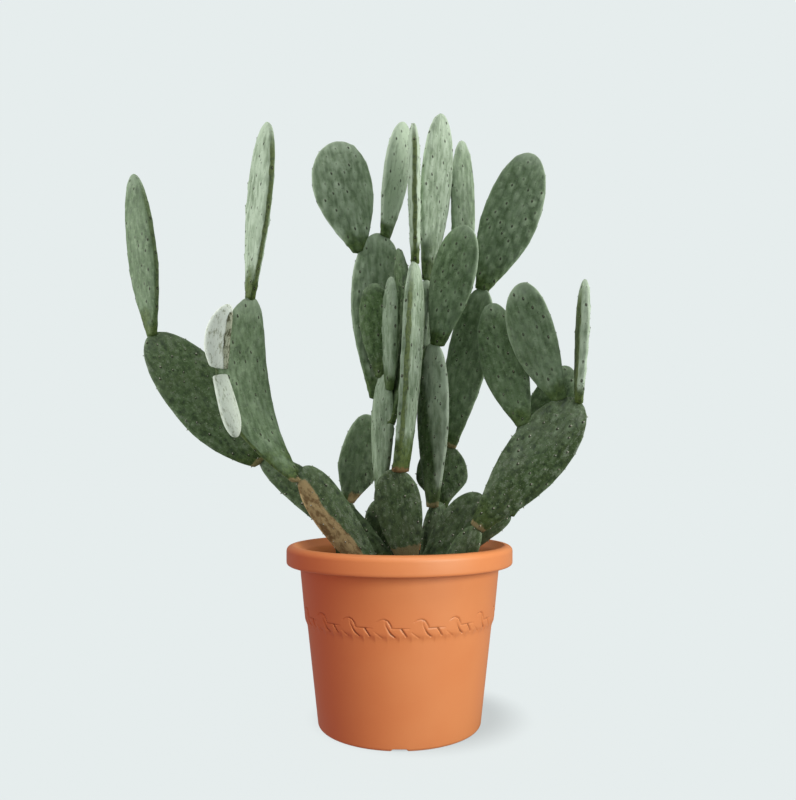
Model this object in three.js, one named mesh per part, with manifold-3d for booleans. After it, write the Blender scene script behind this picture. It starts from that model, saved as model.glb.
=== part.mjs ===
// A prickly pear with flat paddle-shaped stem joints, growing in a terracotta-coloured pot.
// Millimetres, +Z up. The origin is the middle of the pot's underside, at floor level.
// The front of the plant looks along -Y, and +X is to the right of someone facing it.

import * as THREE from "three";
import { mergeVertices } from "three/addons/utils/BufferGeometryUtils.js";
import Module from "manifold-3d";

const wasm = await Module();
wasm.setup();

// Pot
const POT_SIDES = 54;
const FOOT_RADIUS = 130.5; // where the wall starts, just above the rounded foot
const FOOT_FILLET = 5;
const LOWER_TAPER = 0.107; // growth of the wall's radius per millimetre of height
const UPPER_TAPER = 0.095;
const UPPER_WALL_STEP = 2.9; // the wall above the ornament stands this much prouder
const WALL = 4;
const FLOOR_TOP_Z = 12;
const RIM_RADIUS = 180;
const RIM_BOTTOM_Z = 256;
const RIM_TOP_Z = 286;
const RIM_SKIRT = 4; // thickness of the rim's outer skirt, which is open underneath
const RIM_CREST_RADIUS = 167;
const RIM_ROUND = 9; // size of the rounding along the rim's outer top edge
const RIM_ROOF_Z = RIM_TOP_Z - 2 * WALL; // underside of the rim, inside its skirt
const GROOVES = 4; // drain grooves across the underside, which show as notches in the foot
const GROOVE_WIDTH = 23;
const GROOVE_HEIGHT = 4;
const GROOVE_START = 26; // the underside stays flat inside this radius
const DRAIN_HOLE_RADIUS = 7;
const DRAIN_HOLE_CIRCLE = 84;
const HOLE_SIDES = 16;

// Ornament round the pot: a ridge that rises in a crest and runs level again, above a lobed step
const MOTIFS = 18;
const MOTIF_COLUMNS = 6;
const MOTIF_TURN = 4; // columns by which the first motif is turned to the left
const WAVE_LEVEL_Z = 180;
const WAVE_CREST = 14;
const WAVE_TOP_Z = WAVE_LEVEL_Z + WAVE_CREST;
const WAVE_HALF_WIDTH = 6;
const WAVE_RELIEF = 1.5;
const LOBE_Z = 165;
const LOBE_HEIGHT = 5;
const BAND_MARGIN = 20; // plain wall between the ornament and the coarser rings

// Soil
const SOIL_Z = 259;
const SOIL_MOUND = 4;
const SOIL_ROUGHNESS = 1.5;
const SOIL_RINGS = [0.86, 0.66, 0.4]; // rings of its top, as shares of its radius
const SEAT = 0.3; // clearance between neighbouring solids

// Stem joints (pads)
const PAD_THICKNESS = 19;
const NECK_WIDTH = 22;
const NECK_FLATNESS = 0.55; // thickness of a neck as a share of its width
const WIDEST = 0.6; // share of the length at which a pad is widest
const BURIED = 45; // length of a first pad's foot below the soil
const SINK = 6; // how far a pad's foot reaches into the rim of the pad that bears it
const TUBERCLE = 1.8; // height of the swelling under each areole
const RING_POINTS = 12;
const FACE_SHARE = 0.95; // share of the half width on which tubercles stand
const OUTLINE_ROUNDNESS = 2.2; // exponent of the outline beyond the widest place, 2 for an ellipse
const TIP_FULLNESS = 3.4; // the same for the thickness
const NECK_FLARE = 1.15; // how hollow the outline is between the neck and the widest place
const SECTION_FULLNESS = 0.7; // exponent of the cross-section, 1 for an ellipse
const LONG_PAD = 150; // from this length on a pad has the finer stations
const LONG_STATIONS = [0, 0.07, 0.17, 0.28, 0.39, 0.5, 0.61, 0.72, 0.83, 0.92, 0.98];
const SHORT_STATIONS = [0, 0.1, 0.25, 0.41, 0.57, 0.73, 0.88, 0.97];

// Each pad: what bears it (a point of the soil, or another pad and the place on its outline, in
// degrees from its tip and positive to its right), where its tip is, its width, and the heading
// of its face (0 looks to the front, 90 to the right). sweep and bow bend it sideways and away
// from its face. A larger flare makes it slimmer above its neck.
const PADS = {
  // left front stem
  left_front_1: { soil: [-52, -4], tip: [-152, -35, 409], width: 63, face: 25, widest: 0.66, sweep: -3 },
  left_front_2: { on: "left_front_1", rim: -32, tip: [-230, -50, 671], width: 105, face: 55, sweep: -22,
    bow: 42 },
  left_front_3: { on: "left_front_2", rim: 0, tip: [-204, -60, 935], width: 92, face: -58 },
  left_front_4: { on: "left_front_2", rim: -80, tip: [-250, -105, 647], width: 38, face: 20, neck: 26,
    widest: 0.36, sweep: -9 },
  left_front_5: { on: "left_front_2", rim: -84, tip: [-239, -105, 452], width: 28, face: 25 },
  // left back stem
  left_back_1: { soil: [-34, 31], tip: [-233, 50, 425], width: 63, face: 15, sweep: 9 },
  left_back_2: { on: "left_back_1", rim: -10, tip: [-423, 60, 634], width: 114, face: 17, widest: 0.45,
    flare: 0.8 },
  left_back_3: { on: "left_back_2", rim: 0, tip: [-453, 60, 906], width: 84, face: -42, widest: 0.48 },
  // back stem
  back_1: { soil: [-92, 98], tip: [-92, 100, 352], width: 44, face: 0 },
  back_2: { on: "back_1", rim: 0, tip: [-54, 108, 503], width: 76, face: 15, widest: 0.46, flare: 1.6,
    sweep: 5 },
  // middle stem
  middle_1: { soil: [-24, 64], tip: [-33, 58, 357], width: 64, face: 10, neck: 40 },
  middle_2: { on: "middle_1", rim: 0, tip: [-27, 52, 566], width: 96, face: -70 },
  middle_3: { on: "middle_2", rim: 46, tip: [-14, 0, 716], width: 56, face: -72 },
  middle_4: { on: "middle_2", rim: -5, tip: [-45, 58, 721], width: 60, face: -15 },
  middle_5: { on: "middle_2", rim: -55, tip: [-35, 100, 820], width: 98, face: 20 },
  middle_6: { on: "middle_5", rim: -46, tip: [-105, 90, 976], width: 109, face: 22, sweep: -9 },
  middle_7: { on: "middle_5", rim: 12, tip: [10, 110, 1018], width: 70, face: 58 },
  middle_8: { on: "middle_2", rim: 92, tip: [-3, 75, 785], width: 58, face: -70, bow: 17 },
  // front stem
  front_1: { soil: [14, 0], tip: [-12, -5, 406], width: 75, face: 5, neck: 24, widest: 0.66,
    buried: 15 },
  front_2: { on: "front_1", rim: 20, tip: [25, -15, 737], width: 80, face: 69, neck: 52, widest: 0.68,
    flare: 1.4, bow: -6 },
  front_3: { on: "front_2", rim: 0, tip: [22, -20, 951], width: 90, face: 90 },
  // right middle stem
  right_middle_1: { soil: [55, 45], tip: [66, 45, 352], width: 56, face: 40, neck: 36 },
  right_middle_2: { on: "right_middle_1", rim: -30, tip: [56, 38, 618], width: 70, face: -48 },
  right_middle_3: { on: "right_middle_2", rim: 15, tip: [107, 25, 808], width: 78, face: -25 },
  right_middle_4: { on: "right_middle_2", rim: -40, tip: [47, 60, 729], width: 42, face: 60 },
  right_middle_5: { on: "right_middle_4", rim: 0, tip: [73, 50, 1003], width: 80, face: 52 },
  // right back stem
  right_back_1: { on: "right_middle_1", rim: 30, tip: [71, 85, 449], width: 88, face: -5, neck: 14,
    widest: 0.5, flare: 2 },
  right_back_2: { on: "right_back_1", rim: 20, tip: [142, 80, 719], width: 78, face: -30 },
  right_back_3: { on: "right_back_2", rim: 0, tip: [226, 75, 949], width: 98, face: -12, widest: 0.54,
    sweep: 4 },
  right_back_4: { on: "right_back_2", rim: -45, tip: [112, 112, 987], width: 64, face: 50 },
  // right stems
  right_1: { soil: [60, 12], tip: [134, 10, 365], width: 70, face: -10, neck: 34, buried: 28 },
  right_front_1: { soil: [90, -30], tip: [122, -30, 316], width: 42, face: -10, neck: 30 },
  right_front_2: { on: "right_front_1", rim: 0, tip: [284, -20, 515], width: 96, face: -12, sweep: 2 },
  right_front_3: { on: "right_front_2", rim: -78, tip: [150, 20, 678], width: 72, face: -5, widest: 0.5,
    sweep: -6 },
  right_front_4: { on: "right_front_2", rim: -28, tip: [183, -62, 689], width: 71, face: -15, sweep: -8 },
  right_front_5: { on: "right_front_2", rim: 5, tip: [292, -25, 705], width: 57, face: 85 },
  right_low_1: { soil: [98, 50], tip: [186, 52, 330], width: 44, face: -10, sweep: -11, buried: 18 },
  right_low_2: { on: "right_low_1", rim: 0, tip: [286, 60, 581], width: 82, face: -12 },
};

const radians = THREE.MathUtils.degToRad;

// Closed geometry to solid and back

function solidOf(geometry, matrix = new THREE.Matrix4()) {
  const bare = new THREE.BufferGeometry();
  bare.setAttribute("position", geometry.getAttribute("position").clone());
  if (geometry.index) bare.setIndex(geometry.index.clone());
  const merged = mergeVertices(bare.applyMatrix4(matrix), 1e-4);
  return new wasm.Manifold(
    new wasm.Mesh({
      numProp: 3,
      vertProperties: new Float32Array(merged.attributes.position.array),
      triVerts: new Uint32Array(merged.index.array),
    }),
  );
}

function geometryOf(solid) {
  const mesh = solid.getMesh();
  const geometry = new THREE.BufferGeometry();
  const points = new Float32Array(mesh.numVert * 3);
  for (let i = 0; i < mesh.numVert; i++) {
    points.set(mesh.vertProperties.subarray(i * mesh.numProp, i * mesh.numProp + 3), i * 3);
  }
  geometry.setAttribute("position", new THREE.BufferAttribute(points, 3));
  geometry.setIndex(new THREE.BufferAttribute(new Uint32Array(mesh.triVerts), 1));
  geometry.computeVertexNormals();
  return geometry;
}

// Cutting can leave a scrap beyond the neighbour: only the largest piece is the part.
function largestPiece(solid) {
  const pieces = solid.decompose();
  return pieces.reduce((best, piece) => (piece.volume() > best.volume() ? piece : best));
}

// Pot

// Radius of the wall's outside at a height, below and above the ornament.
const lowerWall = (z) => FOOT_RADIUS + LOWER_TAPER * (z - FOOT_FILLET);
const upperWall = (z) => lowerWall(LOBE_Z) + UPPER_WALL_STEP + UPPER_TAPER * (z - LOBE_Z);
const innerWall = (z) => lowerWall(z) - WALL;

// Height of the ornament's ridge at a share u of one motif: an arch, then a level stretch.
function waveZ(u) {
  const across = (u - 0.25) / 0.25;
  return WAVE_LEVEL_Z + (across < 1 ? WAVE_CREST * Math.sqrt(1 - across ** 2) : 0);
}

// A solid of revolution whose rings may have their own number of points, and a radius and a
// height that vary round the ring. The first and the last ring are points on the axis.
function ringedSolid(rings) {
  const points = [];
  const indices = rings.map(({ sides, r, z }) => {
    const ring = [];
    for (let i = 0; i < (r === 0 ? 1 : sides); i++) {
      const angle = (2 * Math.PI * i) / sides;
      const u = ((i + MOTIF_TURN) % MOTIF_COLUMNS) / MOTIF_COLUMNS;
      const radius = typeof r === "function" ? r(u) : r;
      const height = typeof z === "function" ? z(u) : z;
      const point = new THREE.Vector3(radius * Math.sin(angle), -radius * Math.cos(angle), height);
      ring.push(points.push(point) - 1);
    }
    return ring;
  });
  const faces = [];
  for (let j = 0; j + 1 < indices.length; j++) {
    const low = indices[j];
    const high = indices[j + 1];
    const steps = Math.max(low.length, high.length);
    const at = (ring, i) => ring[Math.floor((i * ring.length) / steps) % ring.length];
    for (let i = 0; i < steps; i++) {
      const [a, b] = [at(low, i), at(low, i + 1)];
      const [c, d] = [at(high, i), at(high, i + 1)];
      if (a !== b) faces.push(a, b, d);
      if (c !== d) faces.push(a, d, c);
    }
  }
  const geometry = new THREE.BufferGeometry().setFromPoints(points);
  geometry.setIndex(faces);
  return geometry;
}

// Rings from the middle of the underside, up the outside, over the rim and down the inside.
function potRings() {
  const plain = (r, z) => ({ sides: POT_SIDES, r, z });
  const fine = (r, z) => ({ sides: MOTIFS * MOTIF_COLUMNS, r, z });
  const lobeZ = (u) => LOBE_Z + LOBE_HEIGHT * Math.abs(Math.sin(3 * Math.PI * u));
  const foot = [
    plain(0, 0),
    plain(FOOT_RADIUS - FOOT_FILLET, 0),
    plain(FOOT_RADIUS - 0.3 * FOOT_FILLET, 0.3 * FOOT_FILLET),
    plain(FOOT_RADIUS, FOOT_FILLET),
  ];
  const ornament = [
    plain(lowerWall(LOBE_Z - BAND_MARGIN), LOBE_Z - BAND_MARGIN),
    fine((u) => lowerWall(lobeZ(u)), (u) => lobeZ(u) - 1),
    fine((u) => upperWall(lobeZ(u)), (u) => lobeZ(u) + 1),
    fine((u) => upperWall(waveZ(u)), (u) => waveZ(u) - WAVE_HALF_WIDTH),
    fine((u) => upperWall(waveZ(u)) + WAVE_RELIEF, waveZ),
    fine((u) => upperWall(waveZ(u)), (u) => waveZ(u) + WAVE_HALF_WIDTH),
    plain(upperWall(WAVE_TOP_Z + BAND_MARGIN), WAVE_TOP_Z + BAND_MARGIN),
  ];
  const skirt = RIM_RADIUS - RIM_SKIRT;
  const underRim = [
    plain(upperWall(RIM_ROOF_Z - WALL), RIM_ROOF_Z - WALL),
    plain(upperWall(RIM_ROOF_Z) + WALL, RIM_ROOF_Z),
    plain(skirt - 1.5 * WALL, RIM_ROOF_Z - 0.5 * WALL),
    plain(skirt, RIM_ROOF_Z - 2 * WALL),
    plain(skirt, RIM_BOTTOM_Z + 1),
  ];
  const rim = [
    plain(skirt + 0.4 * RIM_SKIRT, RIM_BOTTOM_Z),
    plain(RIM_RADIUS - 0.25 * RIM_SKIRT, RIM_BOTTOM_Z + 1),
    plain(RIM_RADIUS, RIM_BOTTOM_Z + RIM_SKIRT),
    plain(RIM_RADIUS, RIM_TOP_Z - RIM_ROUND),
    plain(RIM_RADIUS - 0.28 * RIM_ROUND, RIM_TOP_Z - 0.45 * RIM_ROUND),
    plain(RIM_RADIUS - 0.78 * RIM_ROUND, RIM_TOP_Z - 0.1 * RIM_ROUND),
    plain(RIM_CREST_RADIUS, RIM_TOP_Z),
    plain(RIM_CREST_RADIUS - 0.67 * RIM_ROUND, RIM_TOP_Z - 0.17 * RIM_ROUND),
    plain(innerWall(RIM_TOP_Z) + 0.1 * RIM_ROUND, RIM_TOP_Z - 0.67 * RIM_ROUND),
    plain(innerWall(RIM_ROOF_Z), RIM_TOP_Z - 1.5 * RIM_ROUND),
  ];
  const inside = [plain(innerWall(FLOOR_TOP_Z), FLOOR_TOP_Z), plain(0, FLOOR_TOP_Z)];
  return [...foot, ...ornament, ...underRim, ...rim, ...inside];
}

// The underside is flat, with drain grooves that run out through the foot, and a hole in each.
function potSolid() {
  let pot = solidOf(ringedSolid(potRings()));
  for (let i = 0; i < GROOVES; i++) {
    const turn = new THREE.Matrix4().makeRotationZ((2 * Math.PI * i) / GROOVES);
    const grooveLength = FOOT_RADIUS + FOOT_FILLET - GROOVE_START;
    const groove = new THREE.BoxGeometry(GROOVE_WIDTH, grooveLength, 2 * GROOVE_HEIGHT);
    groove.translate(0, -GROOVE_START - grooveLength / 2, 0);
    const radius = DRAIN_HOLE_RADIUS;
    const hole = new THREE.CylinderGeometry(radius, radius, 3 * FLOOR_TOP_Z, HOLE_SIDES);
    hole.rotateX(Math.PI / 2).translate(0, -DRAIN_HOLE_CIRCLE, 0);
    pot = pot.subtract(solidOf(groove, turn)).subtract(solidOf(hole, turn));
  }
  return pot;
}

// Soil

// A small unevenness that depends only on the place: crossed waves about 20 and 27 mm long.
function grit(x, y) {
  const bent = 2 * Math.sin(0.17 * y);
  return SOIL_ROUGHNESS * Math.sin(0.31 * x + bent) * Math.cos(0.23 * y + 0.05 * x);
}

function soilSolid() {
  const edge = innerWall(SOIL_Z) - 2 * SEAT;
  const bottomZ = FLOOR_TOP_Z + SEAT;
  const rings = [
    { sides: POT_SIDES, r: 0, z: bottomZ },
    { sides: POT_SIDES, r: innerWall(bottomZ) - 2 * SEAT, z: bottomZ },
    { sides: POT_SIDES, r: edge, z: SOIL_Z },
  ];
  for (const share of SOIL_RINGS) rings.push({ sides: POT_SIDES, r: share * edge, z: SOIL_Z });
  rings.push({ sides: POT_SIDES, r: 0, z: SOIL_Z });
  const geometry = ringedSolid(rings);
  const position = geometry.getAttribute("position");
  for (let i = 1 + 2 * POT_SIDES; i < position.count; i++) {
    const [x, y] = [position.getX(i), position.getY(i)];
    const rise = SOIL_MOUND * (1 - Math.hypot(x, y) / edge);
    position.setZ(i, SOIL_Z + rise + grit(x, y));
  }
  let soil = solidOf(geometry);
  for (const { pad, matrix } of placed.values()) {
    if (pad.soil) soil = soil.subtract(solidOf(padGeometry(pad, SEAT), matrix));
  }
  return largestPiece(soil);
}

// Pads

const placed = new Map(); // by name, each pad with its length and the matrix of its own frame

// Half the width of a pad at a share t of its length.
function halfWidth(pad, t) {
  const widest = pad.widest ?? WIDEST;
  const neck = (pad.neck ?? NECK_WIDTH) / pad.width;
  if (t >= widest) {
    const s = (t - widest) / (1 - widest);
    return (pad.width / 2) * Math.sqrt(Math.max(0, 1 - s ** OUTLINE_ROUNDNESS));
  }
  const rise = Math.sin((Math.PI / 2) * (t / widest)) ** (pad.flare ?? NECK_FLARE);
  return (pad.width / 2) * (neck + (1 - neck) * rise);
}

// Half the thickness in the middle of a pad at a share t of its length.
function halfThickness(pad, t) {
  const full = PAD_THICKNESS / 2;
  const widest = pad.widest ?? WIDEST;
  const neck = Math.min((NECK_FLATNESS * (pad.neck ?? NECK_WIDTH)) / 2, full);
  if (t >= widest) {
    const s = (t - widest) / (1 - widest);
    return full * Math.sqrt(Math.max(0, 1 - s ** TIP_FULLNESS));
  }
  return neck + (full - neck) * Math.sin((Math.PI / 2) * (t / widest));
}

// Bends a point of the straight pad, most at half its length: sideways and away from its face.
function bend(pad, x, y, t) {
  const hump = 4 * t * (1 - t);
  return new THREE.Vector3(x + (pad.sweep ?? 0) * hump, y + (pad.bow ?? 0) * hump, t * pad.length);
}

// The pad's closed surface: rings of points from foot to tip. Inside the faces every second
// point, like the squares of one colour on a chessboard, stands up as a tubercle.
function padGeometry(pad, grow = 0) {
  const points = [];
  const stations = pad.length < LONG_PAD ? SHORT_STATIONS : LONG_STATIONS;
  const rows = stations.length;
  for (let j = 0; j < rows; j++) {
    const t = stations[j];
    const wide = halfWidth(pad, t) + grow;
    const thick = halfThickness(pad, t) + grow;
    for (let k = 0; k < RING_POINTS; k++) {
      const angle = (2 * Math.PI * k) / RING_POINTS;
      const across = Math.cos(angle);
      const onFace = Math.abs(across) < FACE_SHARE && j > 1 && j < rows - 1;
      const raised = onFace && (j + k) % 2 === 0 ? TUBERCLE : 0;
      const side = Math.sign(Math.round(Math.sin(angle) * 1e6));
      const depth = side * (thick * Math.abs(Math.sin(angle)) ** SECTION_FULLNESS + raised);
      points.push(bend(pad, wide * across, depth, t));
    }
  }
  const foot = points.push(bend(pad, 0, 0, 0)) - 1;
  const tip = points.push(bend(pad, 0, 0, 1 + grow / pad.length)) - 1;
  const faces = [];
  for (let k = 0; k < RING_POINTS; k++) {
    const next = (k + 1) % RING_POINTS;
    for (let j = 0; j + 1 < rows; j++) {
      const a = j * RING_POINTS + k;
      const b = j * RING_POINTS + next;
      const c = a + RING_POINTS;
      const d = b + RING_POINTS;
      if ((j + k) % 2 === 0) faces.push(a, b, c, b, d, c);
      else faces.push(a, b, d, a, d, c);
    }
    faces.push(foot, next, k);
    faces.push((rows - 1) * RING_POINTS + k, (rows - 1) * RING_POINTS + next, tip);
  }
  const geometry = new THREE.BufferGeometry().setFromPoints(points);
  geometry.setIndex(faces);
  return geometry;
}

// A point on a pad's outline, in that pad's own frame, moved in by SINK.
function rimPoint(pad, degrees) {
  const side = Math.sign(degrees) || 1;
  const turn = Math.abs(degrees);
  const widest = pad.widest ?? WIDEST;
  const t = turn <= 90 ? widest + (1 - widest) * Math.cos(radians(turn)) : widest * (2 - turn / 90);
  const outline = bend(pad, side * halfWidth(pad, Math.min(t, 1)), 0, t);
  const middle = bend(pad, 0, 0, widest);
  return outline.add(middle.sub(outline).setLength(SINK));
}

// Where a pad stands: its own frame is width along X, thickness along Y, length along Z.
function placePad(row) {
  const tip = new THREE.Vector3(...row.tip);
  let foot;
  if (row.soil) {
    // The axis crosses the soil's surface at the given point, and starts below it.
    foot = new THREE.Vector3(...row.soil, SOIL_Z);
    const down = foot.clone().sub(tip).normalize();
    foot.addScaledVector(down, row.buried ?? BURIED);
  } else {
    const bearer = placed.get(row.on);
    foot = rimPoint(bearer.pad, row.rim).applyMatrix4(bearer.matrix);
  }
  const length = foot.distanceTo(tip);
  const axis = tip.clone().sub(foot).normalize();
  const away = new THREE.Vector3(-Math.sin(radians(row.face)), Math.cos(radians(row.face)), 0);
  away.addScaledVector(axis, -away.dot(axis)).normalize();
  const across = new THREE.Vector3().crossVectors(away, axis);
  const matrix = new THREE.Matrix4().makeBasis(across, away, axis).setPosition(foot);
  return { pad: { ...row, length }, matrix };
}

for (const [name, row] of Object.entries(PADS)) placed.set(name, placePad(row));

// Everything together

const MATERIALS = {
  pot: new THREE.MeshStandardMaterial({ color: 0xd98050, roughness: 0.45, metalness: 0 }),
  soil: new THREE.MeshStandardMaterial({ color: 0x2b211a, roughness: 1, metalness: 0 }),
  pad: new THREE.MeshStandardMaterial({ color: 0x6b8564, roughness: 0.7, metalness: 0 }),
};

function padSolid({ pad, matrix }) {
  const solid = solidOf(padGeometry(pad), matrix);
  if (pad.soil) return solid;
  const bearer = placed.get(pad.on);
  return largestPiece(solid.subtract(solidOf(padGeometry(bearer.pad, SEAT), bearer.matrix)));
}

const plant = new THREE.Group();

function addMesh(name, solid, material) {
  const mesh = new THREE.Mesh(geometryOf(solid), material);
  mesh.name = name;
  plant.add(mesh);
}

addMesh("pot", potSolid(), MATERIALS.pot);
addMesh("soil", soilSolid(), MATERIALS.soil);
for (const [name, standing] of placed) addMesh(`pad_${name}`, padSolid(standing), MATERIALS.pad);

export default plant;
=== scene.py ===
# %% [markdown]
# # A potted prickly pear
# The plant is a chain of flat stem joints, called pads, in a moulded pot. This script dresses the
# plain solids of that plant with fine surfaces. The solids are loaded first and never moved,
# because they say where everything is. Every size below is in millimetres until a mesh is placed.

# %% Load the solids
import math
from types import SimpleNamespace

import bpy
import numpy as np
from mathutils import Matrix, Vector


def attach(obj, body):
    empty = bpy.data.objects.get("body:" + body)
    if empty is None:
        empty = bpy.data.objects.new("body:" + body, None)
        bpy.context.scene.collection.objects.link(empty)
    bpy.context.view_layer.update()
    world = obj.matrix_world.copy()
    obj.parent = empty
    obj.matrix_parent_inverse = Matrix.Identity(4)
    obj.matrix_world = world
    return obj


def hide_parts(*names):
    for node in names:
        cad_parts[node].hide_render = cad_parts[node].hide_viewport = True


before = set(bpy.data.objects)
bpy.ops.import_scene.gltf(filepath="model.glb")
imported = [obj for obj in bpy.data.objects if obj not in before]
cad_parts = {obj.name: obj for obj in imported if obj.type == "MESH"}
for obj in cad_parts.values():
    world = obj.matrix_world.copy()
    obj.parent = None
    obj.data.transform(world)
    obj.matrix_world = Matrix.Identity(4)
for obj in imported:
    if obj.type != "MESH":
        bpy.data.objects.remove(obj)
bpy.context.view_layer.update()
MILLIMETRE = 0.001
print("solids:", len(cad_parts))

# %% [markdown]
# ## The camera
# The photo is taken level, a little over a metre away, with its horizon low in the picture. A
# level camera with a shifted lens keeps upright things upright, as a tilted camera would not.

# %% Camera
PICTURE_WIDTH = 796
PICTURE_HEIGHT = 800
FOCAL_PIXELS = 714
HORIZON_PIXEL = 474
AXIS_PIXEL = 399.5
CAMERA_DISTANCE = 1151
CAMERA_HEIGHT = 398

lens = bpy.data.cameras.new("camera")
lens.lens = FOCAL_PIXELS / PICTURE_HEIGHT * lens.sensor_width
lens.shift_y = (HORIZON_PIXEL - PICTURE_HEIGHT / 2) / PICTURE_HEIGHT
lens.shift_x = (PICTURE_WIDTH / 2 - AXIS_PIXEL) / PICTURE_HEIGHT
camera = bpy.data.objects.new("camera", lens)
camera.location = Vector((0, -CAMERA_DISTANCE, CAMERA_HEIGHT)) * MILLIMETRE
camera.rotation_euler = (math.radians(90), 0, 0)
bpy.context.scene.collection.objects.link(camera)
bpy.context.scene.camera = camera
print("lens:", round(lens.lens, 2), "mm")

# %% [markdown]
# ## Node trees written as sums
# A pad's shape and its colours are both formulas. Wrapping a socket in a class with Python's own
# operators lets a formula be read as one, and works alike for geometry and for materials.


# %% Sockets that add and multiply
class Value:
    """An output socket that can be used in Python expressions."""

    def __init__(self, tree, socket):
        self.tree = tree
        self.socket = socket

    def math(self, operation, *others):
        return self.tree.math(operation, self, *others)

    def __add__(self, other):
        return self.math("ADD", other)

    __radd__ = __add__

    def __sub__(self, other):
        return self.math("SUBTRACT", other)

    def __rsub__(self, other):
        return self.tree.math("SUBTRACT", other, self)

    def __mul__(self, other):
        return self.math("MULTIPLY", other)

    __rmul__ = __mul__

    def __truediv__(self, other):
        return self.math("DIVIDE", other)

    def __pow__(self, other):
        return self.math("POWER", other)

    def __gt__(self, other):
        return self.math("GREATER_THAN", other)

    def least(self, other):
        return self.math("MINIMUM", other)

    def most(self, other):
        return self.math("MAXIMUM", other)

    def clamp(self):
        return self.most(0.0).least(1.0)

    def step(self, low, high):
        """0 at low, 1 at high, smooth between them. low may be the larger."""
        if low > high:
            return 1 - self.step(high, low)
        inputs = {0: self, 1: low, 2: high}
        return self.tree.node("ShaderNodeMapRange", inputs, interpolation_type="SMOOTHSTEP")


# %% Trees that make their own nodes
class Tree:
    """A node tree of a material or of geometry."""

    def __init__(self, nodes):
        self.nodes = nodes

    def node(self, kind, inputs=None, out=0, **settings):
        """A new node's output. Settings come first, because they choose its inputs."""
        made = self.nodes.nodes.new(kind)
        for name, setting in settings.items():
            setattr(made, name, setting)
        for name, given in (inputs or {}).items():
            if isinstance(given, Value):
                self.nodes.links.new(given.socket, made.inputs[name])
            else:
                made.inputs[name].default_value = given
        return Value(self, made.outputs[out])

    def math(self, operation, *values):
        return self.node("ShaderNodeMath", dict(enumerate(values)), operation=operation)

    def vector(self, x, y, z):
        return self.node("ShaderNodeCombineXYZ", {"X": x, "Y": y, "Z": z})

    def parts(self, vector):
        made = self.node("ShaderNodeSeparateXYZ", {0: vector})
        return [Value(self, out) for out in made.socket.node.outputs]

    def noise(self, vector, scale=1.0, detail=2.0, roughness=0.5):
        inputs = {"Vector": vector, "Scale": scale, "Detail": detail, "Roughness": roughness}
        return self.node("ShaderNodeTexNoise", inputs)

    def mix(self, factor, first, second):
        """A colour between two colours."""
        inputs = {0: factor, 6: first, 7: second}
        return self.node("ShaderNodeMix", inputs, out=2, data_type="RGBA")


# %% [markdown]
# A geometry tree is built once and run for each pad with other sizes. It runs on an empty
# holder, and the mesh that it makes there is kept.


# %% Geometry trees and their meshes
def geometry_tree(name, sizes):
    """A geometry tree with a named input for each size, and those inputs as values."""
    group = bpy.data.node_groups.new(name, "GeometryNodeTree")
    group.interface.new_socket("Geometry", in_out="INPUT", socket_type="NodeSocketGeometry")
    for size, kind in sizes.items():
        group.interface.new_socket(size, in_out="INPUT", socket_type=kind)
    group.interface.new_socket("Geometry", in_out="OUTPUT", socket_type="NodeSocketGeometry")
    tree = Tree(group)
    entry = group.nodes.new("NodeGroupInput")
    values = {size: Value(tree, entry.outputs[size]) for size in sizes}
    return tree, SimpleNamespace(**values)


def end_tree(tree, geometry):
    realized = tree.node("GeometryNodeRealizeInstances", {0: geometry})
    leave = tree.nodes.nodes.new("NodeGroupOutput")
    tree.nodes.links.new(realized.socket, leave.inputs[0])


def run_tree(tree, name, sizes):
    """The mesh that the tree makes with these sizes."""
    holder = bpy.data.objects.new(name + "_holder", bpy.data.meshes.new(name + "_holder"))
    bpy.context.scene.collection.objects.link(holder)
    modifier = holder.modifiers.new("tree", "NODES")
    modifier.node_group = tree.nodes
    for socket in tree.nodes.interface.items_tree:
        if socket.in_out == "INPUT" and socket.name in sizes:
            modifier[socket.identifier] = sizes[socket.name]
    holder.update_tag()
    graph = bpy.context.evaluated_depsgraph_get()
    mesh = bpy.data.meshes.new_from_object(holder.evaluated_get(graph))
    mesh.name = name
    bpy.data.objects.remove(holder)
    return mesh


# %% [markdown]
# ## The skin of a pad
# Prickly pear skin is green under a pale waxy bloom. The bloom lies on the broad faces. It is
# rubbed off the narrow edges and fades towards the joint, where the skin is olive. Old pads at the
# bottom are darker, and turn to cork round their joints. Some colours are painted light: a painted
# highlight on each tubercle, on the tips and round the edges of pads that face the camera, painted
# shade between the tubercles and on narrow edges that face the camera, and bloom laid on the lit
# side of a few pads. The colours follow the pad itself, so they read attributes that its mesh
# carries: the place on the pad, and the way to its nearest areole, which is the small felted dot
# that spines grow from.


# %% Material helpers
def new_material(name, values):
    """A material, its tree and its shader, which has these values all over."""
    material = bpy.data.materials.new(name)
    material.use_nodes = True
    shader = material.node_tree.nodes["Principled BSDF"]
    for socket, value in values.items():
        shader.inputs[socket].default_value = value
    return material, Tree(material.node_tree), shader


def attribute(tree, name, out="Fac"):
    return tree.node("ShaderNodeAttribute", out=out, attribute_name=name)


def object_place(tree):
    """The place in the object's own frame, in metres."""
    return tree.node("ShaderNodeTexCoord", out=3)


def feed(tree, shader, name, value):
    tree.nodes.links.new(value.socket, shader.inputs[name])


def make_bump(tree, height, distance, strength):
    """A normal from a height between 0 and 1 that stands for distance in millimetres."""
    inputs = {"Strength": strength, "Distance": distance * MILLIMETRE, "Height": height}
    return tree.node("ShaderNodeBump", inputs)


def stretched(tree, place, width, length):
    """The place, squeezed so that a noise on it makes streaks this wide and this long."""
    across, depth, along = tree.parts(place)
    return tree.vector(across / width, depth / width, along / length)
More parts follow.
